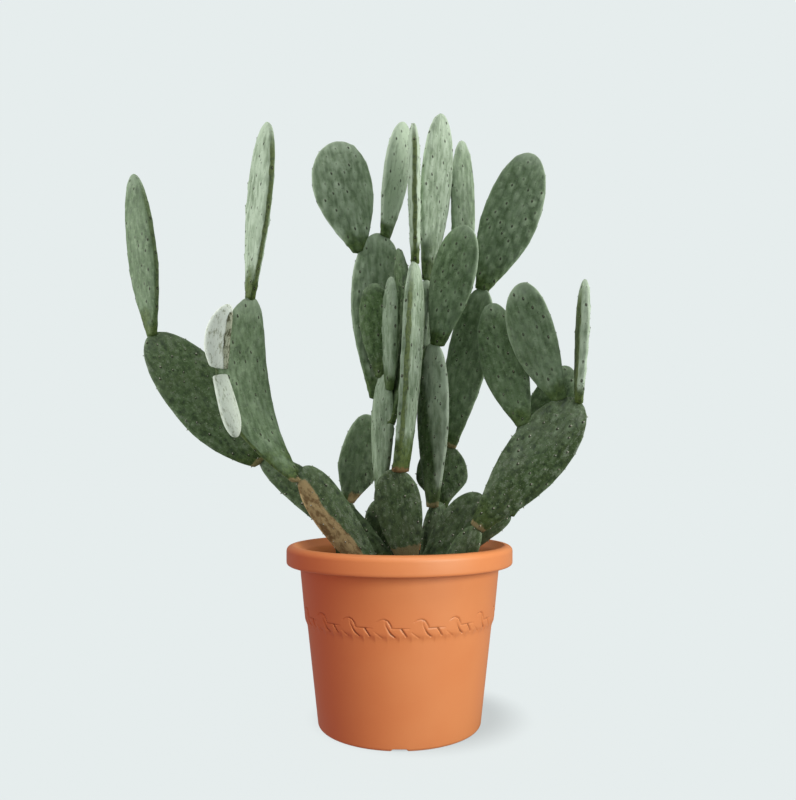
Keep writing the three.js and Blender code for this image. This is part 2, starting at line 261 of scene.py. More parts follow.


# %% Colours of the skin
# GREEN_DARK also paints shade between the tubercles, and GREEN_LIGHT paints their highlight.
GREEN_DARK = (0.020, 0.038, 0.013, 1)
GREEN_DEEP = (0.058, 0.110, 0.036, 1)
GREEN_MIDDLE = (0.135, 0.232, 0.092, 1)
GREEN_LIGHT = (0.270, 0.370, 0.205, 1)
GREEN_OLD = (0.062, 0.098, 0.026, 1)
# BLOOM is also the colour of the painted highlights on the pads.
BLOOM = (0.500, 0.600, 0.445, 1)
# OLIVE is the skin at the joint, and also the colour of the painted shade on narrow edges.
OLIVE = (0.105, 0.145, 0.034, 1)
AREOLE_SHADE = (0.020, 0.024, 0.011, 1)
CORK_BROWN = (0.200, 0.105, 0.042, 1)
CORK_TAN = (0.440, 0.335, 0.170, 1)
BARK_LIGHT = (0.480, 0.350, 0.172, 1)
BARK_DARK = (0.225, 0.145, 0.064, 1)
DRY_PALE = (0.900, 0.960, 0.840, 1)
DRY_CRACK = (0.430, 0.460, 0.330, 1)
DRY_BROWN = (0.085, 0.088, 0.045, 1)
SPECK = (0.620, 0.640, 0.520, 1)
CHALK = (0.340, 0.390, 0.290, 1)

# %% [markdown]
# Noises make the patterns. A streak, a blotch or a crack has a width and a length, because the
# skin stretches as the pad grows. Patches, mottles, grains and scuffs are round, and their number
# says how many there are to a millimetre.

# %% Patterns that the layers of the skin share
STREAK = (6.5, 24)
BLOTCH = (9, 15)
CRACK = (4, 12)
PATCHES = 0.028
MOTTLES = 0.12
GRAINS = 0.55
SCUFFS = 0.16
MARKS = ("share", "edge", "age", "bloom", "swell", "cork", "ring", "bark", "dry", "band", "grade")


def skin_patterns(tree):
    """The attributes of the mesh, and the noises made from its place."""
    place = attribute(tree, "skin", "Vector")
    p = SimpleNamespace(place=place, **{name: attribute(tree, name) for name in MARKS})
    p.streak = tree.noise(stretched(tree, place, *STREAK), 1.0, 3.0).step(0.32, 0.68)
    p.blotch = tree.noise(stretched(tree, place, *BLOTCH), 1.0, 4.0, 0.65)
    p.crack = tree.noise(stretched(tree, place, *CRACK), 1.0, 4.0, 0.7)
    p.patch = tree.noise(place, PATCHES, 3.0).step(0.35, 0.65)
    p.mottle = tree.noise(place, MOTTLES, 4.0, 0.7)
    p.fine = tree.noise(place, GRAINS, 3.0, 0.7)
    p.grain = p.fine.step(0.3, 0.7)
    p.foot = (p.share + (p.patch - 0.5) * 0.1).step(0.22, 0.04)
    return p


# %% Flesh, and the bloom on it
def flesh(tree, p):
    """Green, with dark mottles and painted shade off the swellings, pale mottles and a painted highlight
    on them, and dull on an old pad.
    """
    young = tree.mix(p.streak * 0.45 + p.patch * 0.3 + p.grain * 0.25, GREEN_DEEP, GREEN_MIDDLE)
    green = tree.mix(p.age * (0.6 + 0.4 * p.patch), young, GREEN_OLD)
    # Dark mottles kept off the swellings, which is painted shade in the hollows between tubercles.
    mottle_and_painted_shade = p.mottle.step(0.50, 0.40) * 0.5 + p.blotch.step(0.48, 0.38) * 0.7
    mottle_and_painted_shade = mottle_and_painted_shade * (0.45 + 0.55 * p.age) * (1 - p.swell)
    green = tree.mix(mottle_and_painted_shade.clamp(), green, GREEN_DARK)
    # Pale mottles, and a painted highlight on each swelling.
    mottle_and_painted_highlight = p.swell * (0.35 + 0.6 * p.streak) + p.mottle.step(0.54, 0.66) * 0.45
    return tree.mix(mottle_and_painted_highlight.clamp(), green, GREEN_LIGHT)


def dusted(tree, p, green):
    """Pale wax on the faces with painted highlights, and olive at the foot and along a narrow edge that is
    partly painted shade.
    """
    cloud = (0.45 + 0.55 * p.streak) * (0.75 + 0.5 * p.patch) * (0.8 + 0.4 * p.fine)
    # Partly bloom, partly a painted highlight: a pale rim round pads that have no band.
    edge_bloom_and_highlight = p.edge * (1 - p.band) * p.share.step(0.3, 0.8) * 0.35
    # Partly bloom, partly a painted highlight: a pale tip.
    tip = p.share.step(0.84, 1.0) * 0.4
    # More bloom on the swellings, which is a painted highlight on each tubercle.
    dust = p.bloom * (cloud + 0.5 * p.swell) * (1 - p.foot) + (edge_bloom_and_highlight + tip) * (1 - p.age)
    p.dust = dust.clamp()
    top = p.share.step(0.78, 0.96)
    # Olive skin and painted shade: on a pad with a band, the narrow edge that faces the camera turns dark.
    p.narrow = (p.edge + (p.streak - 0.5) * 0.6).step(0.3, 0.8) * (1 - 0.8 * top) * p.band
    olive_and_painted_shade = (p.narrow * 0.9).most(p.foot * (0.45 + 0.45 * p.band))
    olive = tree.mix(p.mottle.step(0.52, 0.40) * 0.6, OLIVE, GREEN_DARK)
    return tree.mix(olive_and_painted_shade, tree.mix(p.dust, green, BLOOM), olive)


# %% Spots, scuffs and chalk
SPOT_WIDTH = 1.7
SPOT_LENGTH = 2.9


def spotted(tree, p, skin):
    """A dark spot round each areole, pale scuffs, and chalky patches on an old pad."""
    x, y, z = tree.parts(attribute(tree, "areole", "Vector"))
    off = (x * x + y * y) / SPOT_WIDTH**2 + z * z / SPOT_LENGTH**2
    dark = off.step(1.6, 0.5) * p.grade.step(0.3, 0.8)
    skin = tree.mix(dark * 0.85, skin, AREOLE_SHADE)
    crumbs = tree.node("ShaderNodeTexVoronoi", {"Vector": p.place, "Scale": SCUFFS})
    scuffed = crumbs.step(0.13, 0.05) * (0.15 + 0.85 * p.age) * p.fine.step(0.45, 0.6)
    skin = tree.mix(scuffed * 0.7, skin, SPECK)
    chalk = p.blotch.step(0.53, 0.62) * p.grain * (1 - p.foot)
    return tree.mix(chalk * p.age * 0.7, skin, CHALK)


# %% Dry skin, cork and bark
def weathered(tree, p, skin):
    """Cracks in dry skin, a ragged ring of cork at the joint, and bark along one side."""
    parched = tree.mix(p.crack.step(0.50, 0.68), DRY_PALE, DRY_CRACK)
    skin = tree.mix(p.dry * (1 - 0.6 * p.narrow), skin, parched)
    up = tree.parts(p.place)[2]
    ragged = p.fine * 9 + tree.noise(p.place, MOTTLES, 2.0) * 12 - 11
    p.corky = (up - p.ring - ragged).step(1.5, -1.5) * p.cork.math("ABSOLUTE") * 0.85
    cork = tree.mix(p.cork.math("LESS_THAN", 0.0), CORK_BROWN, CORK_TAN)
    cork = tree.mix(p.fine.step(0.35, 0.65) * 0.7, cork, BARK_DARK)
    wood = tree.mix(p.blotch.step(0.38, 0.56), BARK_DARK, BARK_LIGHT)
    wood = tree.mix(p.dry, wood, tree.mix(p.crack.step(0.42, 0.56), DRY_BROWN, DRY_CRACK))
    p.woody = (p.bark + (p.patch - 0.5) * 0.4 + (p.fine - 0.5) * 0.35).step(0.36, 0.60)
    return tree.mix(p.woody, tree.mix(p.corky, skin, cork), wood)


# %% Skin material
SKIN_RELIEF = 1.6


def make_skin():
    material, tree, shader = new_material("pad_skin", {"Specular IOR Level": 0.12})
    p = skin_patterns(tree)
    green = dusted(tree, p, flesh(tree, p))
    feed(tree, shader, "Base Color", weathered(tree, p, spotted(tree, p, green)))
    feed(tree, shader, "Roughness", (0.50 + 0.2 * p.dust + 0.25 * p.woody.most(p.corky)).clamp())
    ripple = tree.noise(stretched(tree, p.place, *STREAK), 2.5, 4.0, 0.6)
    crust = (p.woody + 0.5 * p.age).clamp() * p.blotch
    relief = 0.5 * ripple + 0.3 * p.fine + 0.8 * crust - 0.5 * p.dry * p.crack
    feed(tree, shader, "Normal", make_bump(tree, relief, SKIN_RELIEF, 0.7))
    return material


pad_skin = make_skin()
print("skin:", len(pad_skin.node_tree.nodes), "nodes")

# %% Felt and bristles
FELT_DARK = (0.020, 0.016, 0.010, 1)
FELT_LIGHT = (0.075, 0.060, 0.035, 1)
BRISTLE_DARK = (0.45, 0.42, 0.30, 1)
BRISTLE_LIGHT = (0.72, 0.72, 0.62, 1)
SPECKS_PER_METRE = 900.0


def make_small(name, dark, light, roughness):
    """A material for the tiny pieces, mottled between two colours."""
    material, tree, shader = new_material(name, {"Roughness": roughness})
    mottle = tree.noise(object_place(tree), SPECKS_PER_METRE, 2.0).step(0.35, 0.65)
    feed(tree, shader, "Base Color", tree.mix(mottle, dark, light))
    return material


felt = make_small("areole_felt", FELT_DARK, FELT_LIGHT, 0.9)
bristle = make_small("areole_bristle", BRISTLE_DARK, BRISTLE_LIGHT, 0.6)
print("small materials:", felt.name, bristle.name)

# %% [markdown]
# ## The pads
# Each row says what carries the pad and how many degrees round its `rim`, or where in the soil it
# stands, then where its tip is, its width, and which way its broad face looks. `neck`, `widest`
# and `flare` shape its outline, and `sweep` and `bow` bend it. These are the same driving sizes
# that the solids were made from. The other values are looks, most of them shares of 1: `age` how
# dark, the bloom value how dusty and also, as painted light, how pale the light makes the pad,
# `dry` how shrivelled, `knobs` how bumpy. `cork` is the ring at its joint, brown, or tan below
# zero, and `ring` how far up it goes, in millimetres. `bark` is how woody its right side is, or
# its left side below zero, up to the share `reach` of its length. `lean` keeps the bloom to one
# side in the same way, as painted light on the lit side and painted shade on the other. `band` is
# how dark the narrow edge is: olive skin, and painted shade where that edge faces the camera.
# `shift` moves that band toward the front or back face.

# %% Where the pads are
PADS = {
    # left front stem
    "left_front_1": dict(soil=(-52, -4), tip=(-152, -35, 409), width=63, face=25, widest=0.66, sweep=-3,
                         age=0.9, bark=-0.9, knobs=0.3),
    "left_front_2": dict(on="left_front_1", rim=-32, tip=(-230, -50, 671), width=105, face=55, sweep=-22,
                         bow=42, bloom=0.26, cork=-0.9, band=0.9, knobs=0.5),
    "left_front_3": dict(on="left_front_2", rim=0, tip=(-204, -60, 935), width=92, face=-58, bloom=1.05,
                         band=1),
    "left_front_4": dict(on="left_front_2", rim=-80, tip=(-250, -105, 647), width=38, face=20, neck=26,
                         widest=0.36, sweep=-9, bloom=1.0, dry=1.0, knobs=0, bark=0.9),
    "left_front_5": dict(on="left_front_2", rim=-84, tip=(-239, -105, 452), width=28, face=25, bloom=0.6,
                         dry=0.7, knobs=0),
    # left back stem
    "left_back_1": dict(soil=(-34, 31), tip=(-233, 50, 425), width=63, face=15, sweep=9, age=0.8,
                        knobs=0.3),
    "left_back_2": dict(on="left_back_1", rim=-10, tip=(-423, 60, 634), width=114, face=17, widest=0.45,
                        flare=0.8, age=0.75, bloom=0.08, cork=-0.7, knobs=0.2),
    "left_back_3": dict(on="left_back_2", rim=0, tip=(-453, 60, 906), width=84, face=-42, widest=0.48,
                        bloom=0.22, band=0.6),
    # back stem
    "back_1": dict(soil=(-92, 98), tip=(-92, 100, 352), width=44, face=0, age=0.9),
    "back_2": dict(on="back_1", rim=0, tip=(-54, 108, 503), width=76, face=15, widest=0.46, flare=1.6,
                   sweep=5, age=0.5, bloom=0.25, bark=0.8, reach=0.2),
    # middle stem
    "middle_1": dict(soil=(-24, 64), tip=(-33, 58, 357), width=64, face=10, neck=40, age=0.9, knobs=0.3),
    "middle_2": dict(on="middle_1", rim=0, tip=(-27, 52, 566), width=96, face=-70, bloom=0.6),
    "middle_3": dict(on="middle_2", rim=46, tip=(-14, 0, 716), width=56, face=-72, bloom=0.6),
    "middle_4": dict(on="middle_2", rim=-5, tip=(-45, 58, 721), width=60, face=-15, bloom=0.0, age=0.5),
    "middle_5": dict(on="middle_2", rim=-55, tip=(-35, 100, 820), width=98, face=20, bloom=0.48),
    "middle_6": dict(on="middle_5", rim=-46, tip=(-105, 90, 976), width=109, face=22, sweep=-9,
                     bloom=0.62, knobs=1.0),
    "middle_7": dict(on="middle_5", rim=12, tip=(10, 110, 1018), width=70, face=58, bloom=1.4),
    "middle_8": dict(on="middle_2", rim=92, tip=(-3, 75, 785), width=58, face=-70, bow=17, age=0.6),
    # front stem
    "front_1": dict(soil=(14, 0), tip=(-12, -5, 406), width=75, face=5, neck=24, widest=0.66, buried=15,
                    age=1.0, cork=-0.8, ring=39, knobs=0.3),
    "front_2": dict(on="front_1", rim=20, tip=(25, -15, 737), width=80, face=69, neck=52, widest=0.68,
                    flare=1.4, bow=-6, bloom=0.78, cork=1.0, band=1, shift=-0.4),
    "front_3": dict(on="front_2", rim=0, tip=(22, -20, 951), width=90, face=90, bloom=1.4, band=1),
    # right middle stem
    "right_middle_1": dict(soil=(55, 45), tip=(66, 45, 352), width=56, face=40, neck=36, age=1.0,
                           bark=0.9, knobs=0.3),
    "right_middle_2": dict(on="right_middle_1", rim=-30, tip=(56, 38, 618), width=70, face=-48, age=0.5,
                           bloom=1.1, lean=1.0, cork=-0.8, knobs=0.5),
    "right_middle_3": dict(on="right_middle_2", rim=15, tip=(107, 25, 808), width=78, face=-25, bloom=0.22,
                           knobs=0.9),
    "right_middle_4": dict(on="right_middle_2", rim=-40, tip=(47, 60, 729), width=42, face=60, bloom=0.6),
    "right_middle_5": dict(on="right_middle_4", rim=0, tip=(73, 50, 1003), width=80, face=52, bloom=0.9),
    # right back stem
    "right_back_1": dict(on="right_middle_1", rim=30, tip=(71, 85, 449), width=88, face=-5, neck=14,
                         widest=0.5, flare=2, age=0.8, bloom=0.1, knobs=0.4),
    "right_back_2": dict(on="right_back_1", rim=20, tip=(142, 80, 719), width=78, face=-30, age=0.4,
                         bloom=0.25, cork=-0.8, knobs=0.7),
    "right_back_3": dict(on="right_back_2", rim=0, tip=(226, 75, 949), width=98, face=-12, widest=0.54,
                         sweep=4, bloom=0.32, knobs=1.0),
    "right_back_4": dict(on="right_back_2", rim=-45, tip=(112, 112, 987), width=64, face=50, bloom=0.46),
    # right stems
    "right_1": dict(soil=(60, 12), tip=(134, 10, 365), width=70, face=-10, neck=34, buried=28, age=0.9,
                    knobs=0.3),
    "right_front_1": dict(soil=(90, -30), tip=(122, -30, 316), width=42, face=-10, neck=30, age=0.9,
                          knobs=0.3),
    "right_front_2": dict(on="right_front_1", rim=0, tip=(284, -20, 515), width=96, face=-12, sweep=2,
                          age=1.0, bloom=0.2, lean=-0.8, cork=-0.9, knobs=0.6),
    "right_front_3": dict(on="right_front_2", rim=-78, tip=(150, 20, 678), width=72, face=-5, widest=0.5,
                          sweep=-6, age=0.3, bloom=0.12),
    "right_front_4": dict(on="right_front_2", rim=-28, tip=(183, -62, 689), width=71, face=-15, sweep=-8,
                          bloom=0.28),
    "right_front_5": dict(on="right_front_2", rim=5, tip=(292, -25, 705), width=57, face=85, bloom=1.15,
                          band=1, shift=0.85),
    "right_low_1": dict(soil=(98, 50), tip=(186, 52, 330), width=44, face=-10, sweep=-11, buried=18,
                        age=0.9, knobs=0.3),
    "right_low_2": dict(on="right_low_1", rim=0, tip=(286, 60, 581), width=82, face=-12, age=0.5,
                        bloom=0.1),
}

# %% Usual values, and the sizes that all pads share
SHAPE = dict(neck=22, widest=0.6, flare=1.15, sweep=0, bow=0, buried=45)
LOOK = dict(age=0.15, bloom=0.1, dry=0, knobs=0.6, lean=0, cork=0, ring=10, bark=0, reach=1,
            band=0, shift=0)
SOIL_Z = 259
SINK = 6
THICKNESS = 19
NECK_FLATNESS = 0.55
OUTLINE_ROUNDNESS = 2.2
TIP_FULLNESS = 3.4
SECTION_FULLNESS = 0.7


# %% Placing each pad on what carries it
def half_width(pad, t):
    if t >= pad["widest"]:
        s = (t - pad["widest"]) / (1 - pad["widest"])
        return pad["width"] / 2 * math.sqrt(max(0, 1 - s**OUTLINE_ROUNDNESS))
    neck = pad["neck"] / pad["width"]
    rise = math.sin(math.pi / 2 * t / pad["widest"]) ** pad["flare"]
    return pad["width"] / 2 * (neck + (1 - neck) * rise)


def bent(pad, x, y, t):
    hump = 4 * t * (1 - t)
    return Vector((x + pad["sweep"] * hump, y + pad["bow"] * hump, t * pad["length"]))


def rim_point(pad, degrees):
    """A point on the outline of a pad, a little way in from its edge."""
    side = -1 if degrees < 0 else 1
    turn = abs(degrees)
    if turn <= 90:
        t = pad["widest"] + (1 - pad["widest"]) * math.cos(math.radians(turn))
    else:
        t = pad["widest"] * (2 - turn / 90)
    outline = bent(pad, side * half_width(pad, min(t, 1)), 0, t)
    inward = bent(pad, 0, 0, pad["widest"]) - outline
    return outline + inward.normalized() * SINK


def place_pad(row, pads):
    """The row with its usual values, its length and the matrix of the pad's own frame."""
    pad = {**SHAPE, **LOOK, **row}
    tip = Vector(pad["tip"])
    if "soil" in pad:
        foot = Vector((*pad["soil"], SOIL_Z))
        foot += (foot - tip).normalized() * pad["buried"]
    else:
        bearer = pads[pad["on"]]
        foot = bearer["matrix"] @ rim_point(bearer, pad["rim"])
    axis = (tip - foot).normalized()
    heading = math.radians(pad["face"])
    away = Vector((-math.sin(heading), math.cos(heading), 0))
    away = (away - axis * away.dot(axis)).normalized()
    across = away.cross(axis)
    columns = Matrix((across, away, axis)).transposed().to_4x4()
    pad["length"] = (tip - foot).length
    pad["matrix"] = Matrix.Translation(foot) @ columns
    return pad


pads = {}
for pad_name, pad_row in PADS.items():
    pads[pad_name] = place_pad(pad_row, pads)
print("pads:", len(pads), "longest", round(max(p["length"] for p in pads.values())), "mm")

# %% [markdown]
# ## One tree for every pad
# A ball of fine mesh is pulled into the pad's shape by the same formula as the solid: rounded
# where it is widest, drawn in to a neck, thin across. Areoles are set out in slanting rows, as on
# the real plant, and moved a little at random. Each has a random grade, from faint to strong. The
# skin rises under each of them in a tubercle.


# %% The smooth pad as a formula
def pad_surface(tree, size, t, cosine, sine):
    """A point of the smooth pad, at a share t of its length and round its section."""
    beyond = ((t - size.widest) / (1 - size.widest)).clamp()
    before = (t / size.widest).clamp() * (math.pi / 2)
    climb = before.math("SINE").most(0.0)
    neck = size.neck / size.width
    flare = neck + (1 - neck) * climb ** size.flare
    taper = (1 - beyond**OUTLINE_ROUNDNESS).most(0.0).math("SQRT")
    wide = size.width / 2 * flare * taper
    neck_depth = (size.neck * NECK_FLATNESS / 2).least(THICKNESS / 2)
    close = (1 - beyond**TIP_FULLNESS).most(0.0).math("SQRT")
    thick = (neck_depth + (THICKNESS / 2 - neck_depth) * climb) * close
    side = sine.math("SIGN")
    fullness = sine.math("ABSOLUTE") ** SECTION_FULLNESS
    hump = 4 * t * (1 - t)
    x = wide * cosine + size.sweep * hump
    y = side * thick * fullness + size.bow * hump
    return tree.vector(x, y, t * size.length), wide


# %% Geometry helpers
def store(tree, geometry, name, value, kind="FLOAT"):
    inputs = {"Geometry": geometry, "Name": name, "Value": value}
    return tree.node("GeometryNodeStoreNamedAttribute", inputs, data_type=kind)


def named(tree, name):
    """A number that the points or the mesh carry under this name."""
    return tree.node("GeometryNodeInputNamedAttribute", {"Name": name}, data_type="FLOAT")


def position(tree):
    return tree.node("GeometryNodeInputPosition")


def random_vector(tree, low, high, seed):
    limits = {0: low, 1: high, "Seed": seed}
    return tree.node("FunctionNodeRandomValue", limits, data_type="FLOAT_VECTOR")


def moved(tree, geometry, place):
    return tree.node("GeometryNodeSetPosition", {"Geometry": geometry, "Position": place})


def join(tree, *geometries):
    made = tree.node("GeometryNodeJoinGeometry")
    for geometry in geometries:
        tree.nodes.links.new(geometry.socket, made.socket.node.inputs[0])
    return made


# %% Areoles on the broad faces
AREOLE_COLUMNS = 20
AREOLE_ROWS = 60
AREOLE_ACROSS = 25
AREOLE_ALONG = 16
AREOLE_START = 9
AREOLE_JITTER = 3.5
AREOLE_REACH = 0.90
AREOLE_END = 0.975
# Which side a face is on, with the seed of the random moves there.
FACES = ((1.0, 11), (-1.0, 47))


def areole_points(tree, size, side, seed):
    """Points in slanting rows over one broad face."""
    counts = {"Size X": AREOLE_COLUMNS, "Vertices X": AREOLE_COLUMNS + 1}
    counts.update({"Size Y": AREOLE_ROWS, "Vertices Y": AREOLE_ROWS + 1})
    grid = tree.node("GeometryNodeMeshGrid", counts)
    column, row, _ = tree.parts(position(tree))
    row = row + AREOLE_ROWS / 2
    odd = row.math("MODULO", 2.0) > 0.5
    jitter = random_vector(tree, (-1.0, -1.0, -1.0), (1.0, 1.0, 1.0), size.seed + seed)
    jitter_x, jitter_z, _ = tree.parts(jitter)
    x = (column + odd * 0.5) * AREOLE_ACROSS + jitter_x * AREOLE_JITTER
    z = row * AREOLE_ALONG + AREOLE_START + jitter_z * AREOLE_JITTER
    t = z / size.length
    _, wide = pad_surface(tree, size, t.clamp(), x * 0 + 1, x * 0)
    cosine = (x / wide.most(0.1)).most(-1.0).least(1.0)
    sine = (1 - cosine * cosine).most(0.0).math("SQRT") * side
    place, _ = pad_surface(tree, size, t.clamp(), cosine, sine)
    unwanted = (x.math("ABSOLUTE") > wide * AREOLE_REACH).most(t > AREOLE_END)
    # The test is read from the grid, so it is kept as an attribute before the points move.
    return moved(tree, store(tree, grid, "drop", unwanted), place)


# %% Areoles on the narrow edges
RIM_AREOLES = 24
RIM_AREOLE_STEP = 29
RIM_AREOLE_START = 12
RIM_AREOLE_STAGGER = 5
RIM_AREOLE_END = 0.985


def rim_areoles(tree, size, side):
    """A row of points along one narrow edge."""
    row = {"Count": RIM_AREOLES, "Start Location": (0, 0, 0), "Offset": (0, 0, 1.0)}
    line = tree.node("GeometryNodeMeshLine", row, count_mode="TOTAL")
    _, _, step = tree.parts(position(tree))
    start = RIM_AREOLE_START + side * RIM_AREOLE_STAGGER
    t = (step * RIM_AREOLE_STEP + start) / size.length
    place, _ = pad_surface(tree, size, t.clamp(), t * 0 + side, t * 0)
    return moved(tree, store(tree, line, "drop", t > RIM_AREOLE_END), place)


# %% All the areoles of a pad
def all_areoles(tree, size):
    """The points of both faces and both edges, each with its random grade."""
    rows = [areole_points(tree, size, side, seed) for side, seed in FACES]
    rows += [rim_areoles(tree, size, side) for side in (1.0, -1.0)]
    inputs = {"Geometry": join(tree, *rows), "Selection": named(tree, "drop") > 0.5}
    areoles = tree.node("GeometryNodeDeleteGeometry", inputs, domain="POINT")
    areoles = tree.node("GeometryNodeMeshToPoints", {"Mesh": areoles})
    limits = {2: 0.0, 3: 1.0, "Seed": size.seed}
    grade = tree.node("FunctionNodeRandomValue", limits, out=1, data_type="FLOAT")
    return store(tree, areoles, "grade", grade)


# %% The smooth skin, and where its looks change
TIP_CROWDING = 1.6
BARK_FADE = 0.15


def smooth_skin(tree, size):
    counts = {"Segments": size.around, "Rings": size.along, "Radius": 1.0}
    ball = tree.node("GeometryNodeMeshUVSphere", counts)
    x, y, z = tree.parts(position(tree))
    turn = (0 - z).math("ARCCOSINE") / math.pi
    t = 1 - (1 - turn).most(0.0) ** TIP_CROWDING
    radius = (x * x + y * y).math("SQRT")
    off_pole = (radius * 1000).clamp()
    cosine = x / radius.most(0.00001) * off_pole
    sine = y / radius.most(0.00001) * off_pole
    place, _ = pad_surface(tree, size, t, cosine, sine)
    # The edge mask, moved by `shift`, is where a band paints olive and painted shade.
    edge = 1 - (sine - size.shift).math("ABSOLUTE").step(0.05, 0.5)
    # Painted light: with `lean`, the bloom lies only on the lit side of the pad, and the other side is
    # left dark as painted shade.
    painted_lit_side = (cosine * size.lean + (t - 0.6) * 1.7).step(-0.3, 0.2)
    dusty = 1 - size.lean.math("ABSOLUTE") * (1 - painted_lit_side)
    woody_side = cosine * size.bark.math("SIGN") + 0.3 - 0.7 * t.most(size.dry)
    woody = size.bark.math("ABSOLUTE") * woody_side.step(-0.25, 0.25)
    woody = woody * (1 - ((t - size.reach) / BARK_FADE + 1).clamp())
    looks = {"share": t, "edge": edge, "bloom": size.bloom * dusty, "bark": woody}
    for name, value in looks.items():
        ball = store(tree, ball, name, value)
    return moved(tree, ball, place)


# %% [markdown]
# A tubercle is steep above its areole and runs out slowly below it. Each point of the skin finds
# its nearest areole, and rises less the farther it lies from it. Faint long streaks rise and sink
# too. The material reads the same swelling, so that its colours follow the relief: a painted
# highlight on each swelling and painted shade between them.

# %% Sizes of the relief, and its helpers
TUBERCLE = 2.6
TUBERCLE_WIDTH = 4.2
TUBERCLE_ABOVE = 3.0
TUBERCLE_BELOW = 15.0
STREAK_RELIEF = 1.5
RIDGE_WIDTH = 7
RIDGE_LENGTH = 26
SEED_SHIFT = 7.3
SKIN_SHIFT = 6


def at_index(tree, geometry, value, index, kind):
    """The value that the point with this index has."""
    inputs = {"Geometry": geometry, "Value": value, "Index": index}
    return tree.node("GeometryNodeSampleIndex", inputs, data_type=kind)


def shifted(tree, geometry, offset):
    return tree.node("GeometryNodeSetPosition", {"Geometry": geometry, "Offset": offset})


def with_material(tree, geometry, material):
    return tree.node("GeometryNodeSetMaterial", {"Geometry": geometry, "Material": material})


# %% Raise the skin
def raised_skin(tree, size, smooth, areoles):
    here = position(tree)
    nearest = {"Geometry": areoles, "Sample Position": here}
    nearest = tree.node("GeometryNodeSampleNearest", nearest)
    centre = at_index(tree, areoles, here, nearest, "FLOAT_VECTOR")
    offset = tree.node("ShaderNodeVectorMath", {0: here, 1: centre}, operation="SUBTRACT")
    grade = at_index(tree, areoles, named(tree, "grade"), nearest, "FLOAT")
    off_x, off_y, off_z = tree.parts(offset)
    above = off_z.most(0.0) / TUBERCLE_ABOVE
    below = (0 - off_z).most(0.0) / TUBERCLE_BELOW
    sideways = (off_x * off_x + off_y * off_y) / TUBERCLE_WIDTH**2
    swelling = (0 - (above * above + below * below + sideways)).math("EXPONENT")
    swelling = swelling * size.knobs * (0.4 + 0.6 * grade) * (1 - 0.7 * named(tree, "edge"))
    x, y, z = tree.parts(here)
    shift = size.seed * SEED_SHIFT
    streak_x = x / RIDGE_WIDTH + shift
    streak_place = tree.vector(streak_x, y / RIDGE_WIDTH, z / RIDGE_LENGTH)
    streaks = tree.noise(streak_place, 1.0, 3.0) - 0.5
    lift = swelling * TUBERCLE + streaks * STREAK_RELIEF
    skin = store(tree, smooth, "areole", offset, "FLOAT_VECTOR")
    skin = store(tree, skin, "grade", grade)
    skin = store(tree, skin, "swell", swelling)
    skin = store(tree, skin, "skin", tree.vector(x + shift * SKIN_SHIFT, y, z), "FLOAT_VECTOR")
    outward = {0: tree.node("GeometryNodeInputNormal"), "Scale": lift}
    outward = tree.node("ShaderNodeVectorMath", outward, operation="SCALE")
    skin = shifted(tree, skin, outward)
    for name in ("age", "cork", "ring", "dry", "band"):
        skin = store(tree, skin, name, getattr(size, name))
    skin = tree.node("GeometryNodeSetShadeSmooth", {"Geometry": skin})
    return with_material(tree, skin, pad_skin)


# %% Felt cushions and tufts of bristles
FELT_SIZE = 1.1
BRISTLE_SIZE = 0.8


def on_skin(tree, skin, value):
    """What the skin has at its point nearest to an areole."""
    here = position(tree)
    inputs = {"Mesh": skin, "Value": value, "Sample Position": here}
    return tree.node("GeometryNodeSampleNearestSurface", inputs, data_type="FLOAT_VECTOR")


def small_ball(tree, scale, place, material):
    ball = tree.node("GeometryNodeMeshIcoSphere", {"Radius": 1.0, "Subdivisions": 1})
    inputs = {"Geometry": ball, "Scale": scale, "Translation": place}
    return with_material(tree, tree.node("GeometryNodeTransform", inputs), material)


def copies(tree, points, shape, turn, scale):
    """The shape at every point."""
    inputs = {"Points": points, "Instance": shape, "Rotation": turn, "Scale": scale}
    return tree.node("GeometryNodeInstanceOnPoints", inputs)


def felt_and_tufts(tree, size, skin, areoles):
    seat = on_skin(tree, skin, position(tree))
    outward = {"Vector": on_skin(tree, skin, tree.node("GeometryNodeInputNormal"))}
    upright = tree.node("FunctionNodeAlignRotationToVector", outward, axis="Z")
    areoles = moved(tree, areoles, seat)
    cushion = small_ball(tree, (1.0, 1.0, 0.6), (0.0, 0.0, 0.0), felt)
    tuft = small_ball(tree, (1.0, 1.0, 1.5), (0.6, 0.9, 1.0), bristle)
    grade = named(tree, "grade")
    fresh = 1 - 0.8 * size.dry
    felt_size = (0.5 + 0.6 * grade) * fresh * FELT_SIZE
    tuft_size = (0.3 + 0.9 * grade) * (0.35 + size.age) * fresh * BRISTLE_SIZE
    felts = copies(tree, areoles, cushion, upright, felt_size)
    return felts, copies(tree, areoles, tuft, upright, tuft_size)


# %% Pad tree
PAD_SIZES = ("length", "width", "neck", "widest", "flare", "sweep", "bow", *LOOK)


def make_pad_tree():
    kinds = {name: "NodeSocketFloat" for name in PAD_SIZES}
    kinds.update({name: "NodeSocketInt" for name in ("seed", "around", "along")})
    tree, size = geometry_tree("pad", kinds)
    areoles = all_areoles(tree, size)
    skin = raised_skin(tree, size, smooth_skin(tree, size), areoles)
    felts, tufts = felt_and_tufts(tree, size, skin, areoles)
    end_tree(tree, join(tree, skin, felts, tufts))
    return tree


pad_tree = make_pad_tree()
print("pad tree:", len(pad_tree.nodes.nodes), "nodes")


# %% Putting a piece in place of its solid
def add_piece(name, mesh, slot_name, *nodes):
    """Puts a finished mesh into the scene in place of the solids that it stands for."""
    piece = bpy.data.objects.new(name, mesh)
    bpy.context.scene.collection.objects.link(piece)
    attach(piece, "root")
    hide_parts(*nodes)
    return piece


# %% Grow the pads
def count_triangles(mesh):
    return sum(len(face.vertices) - 2 for face in mesh.polygons)


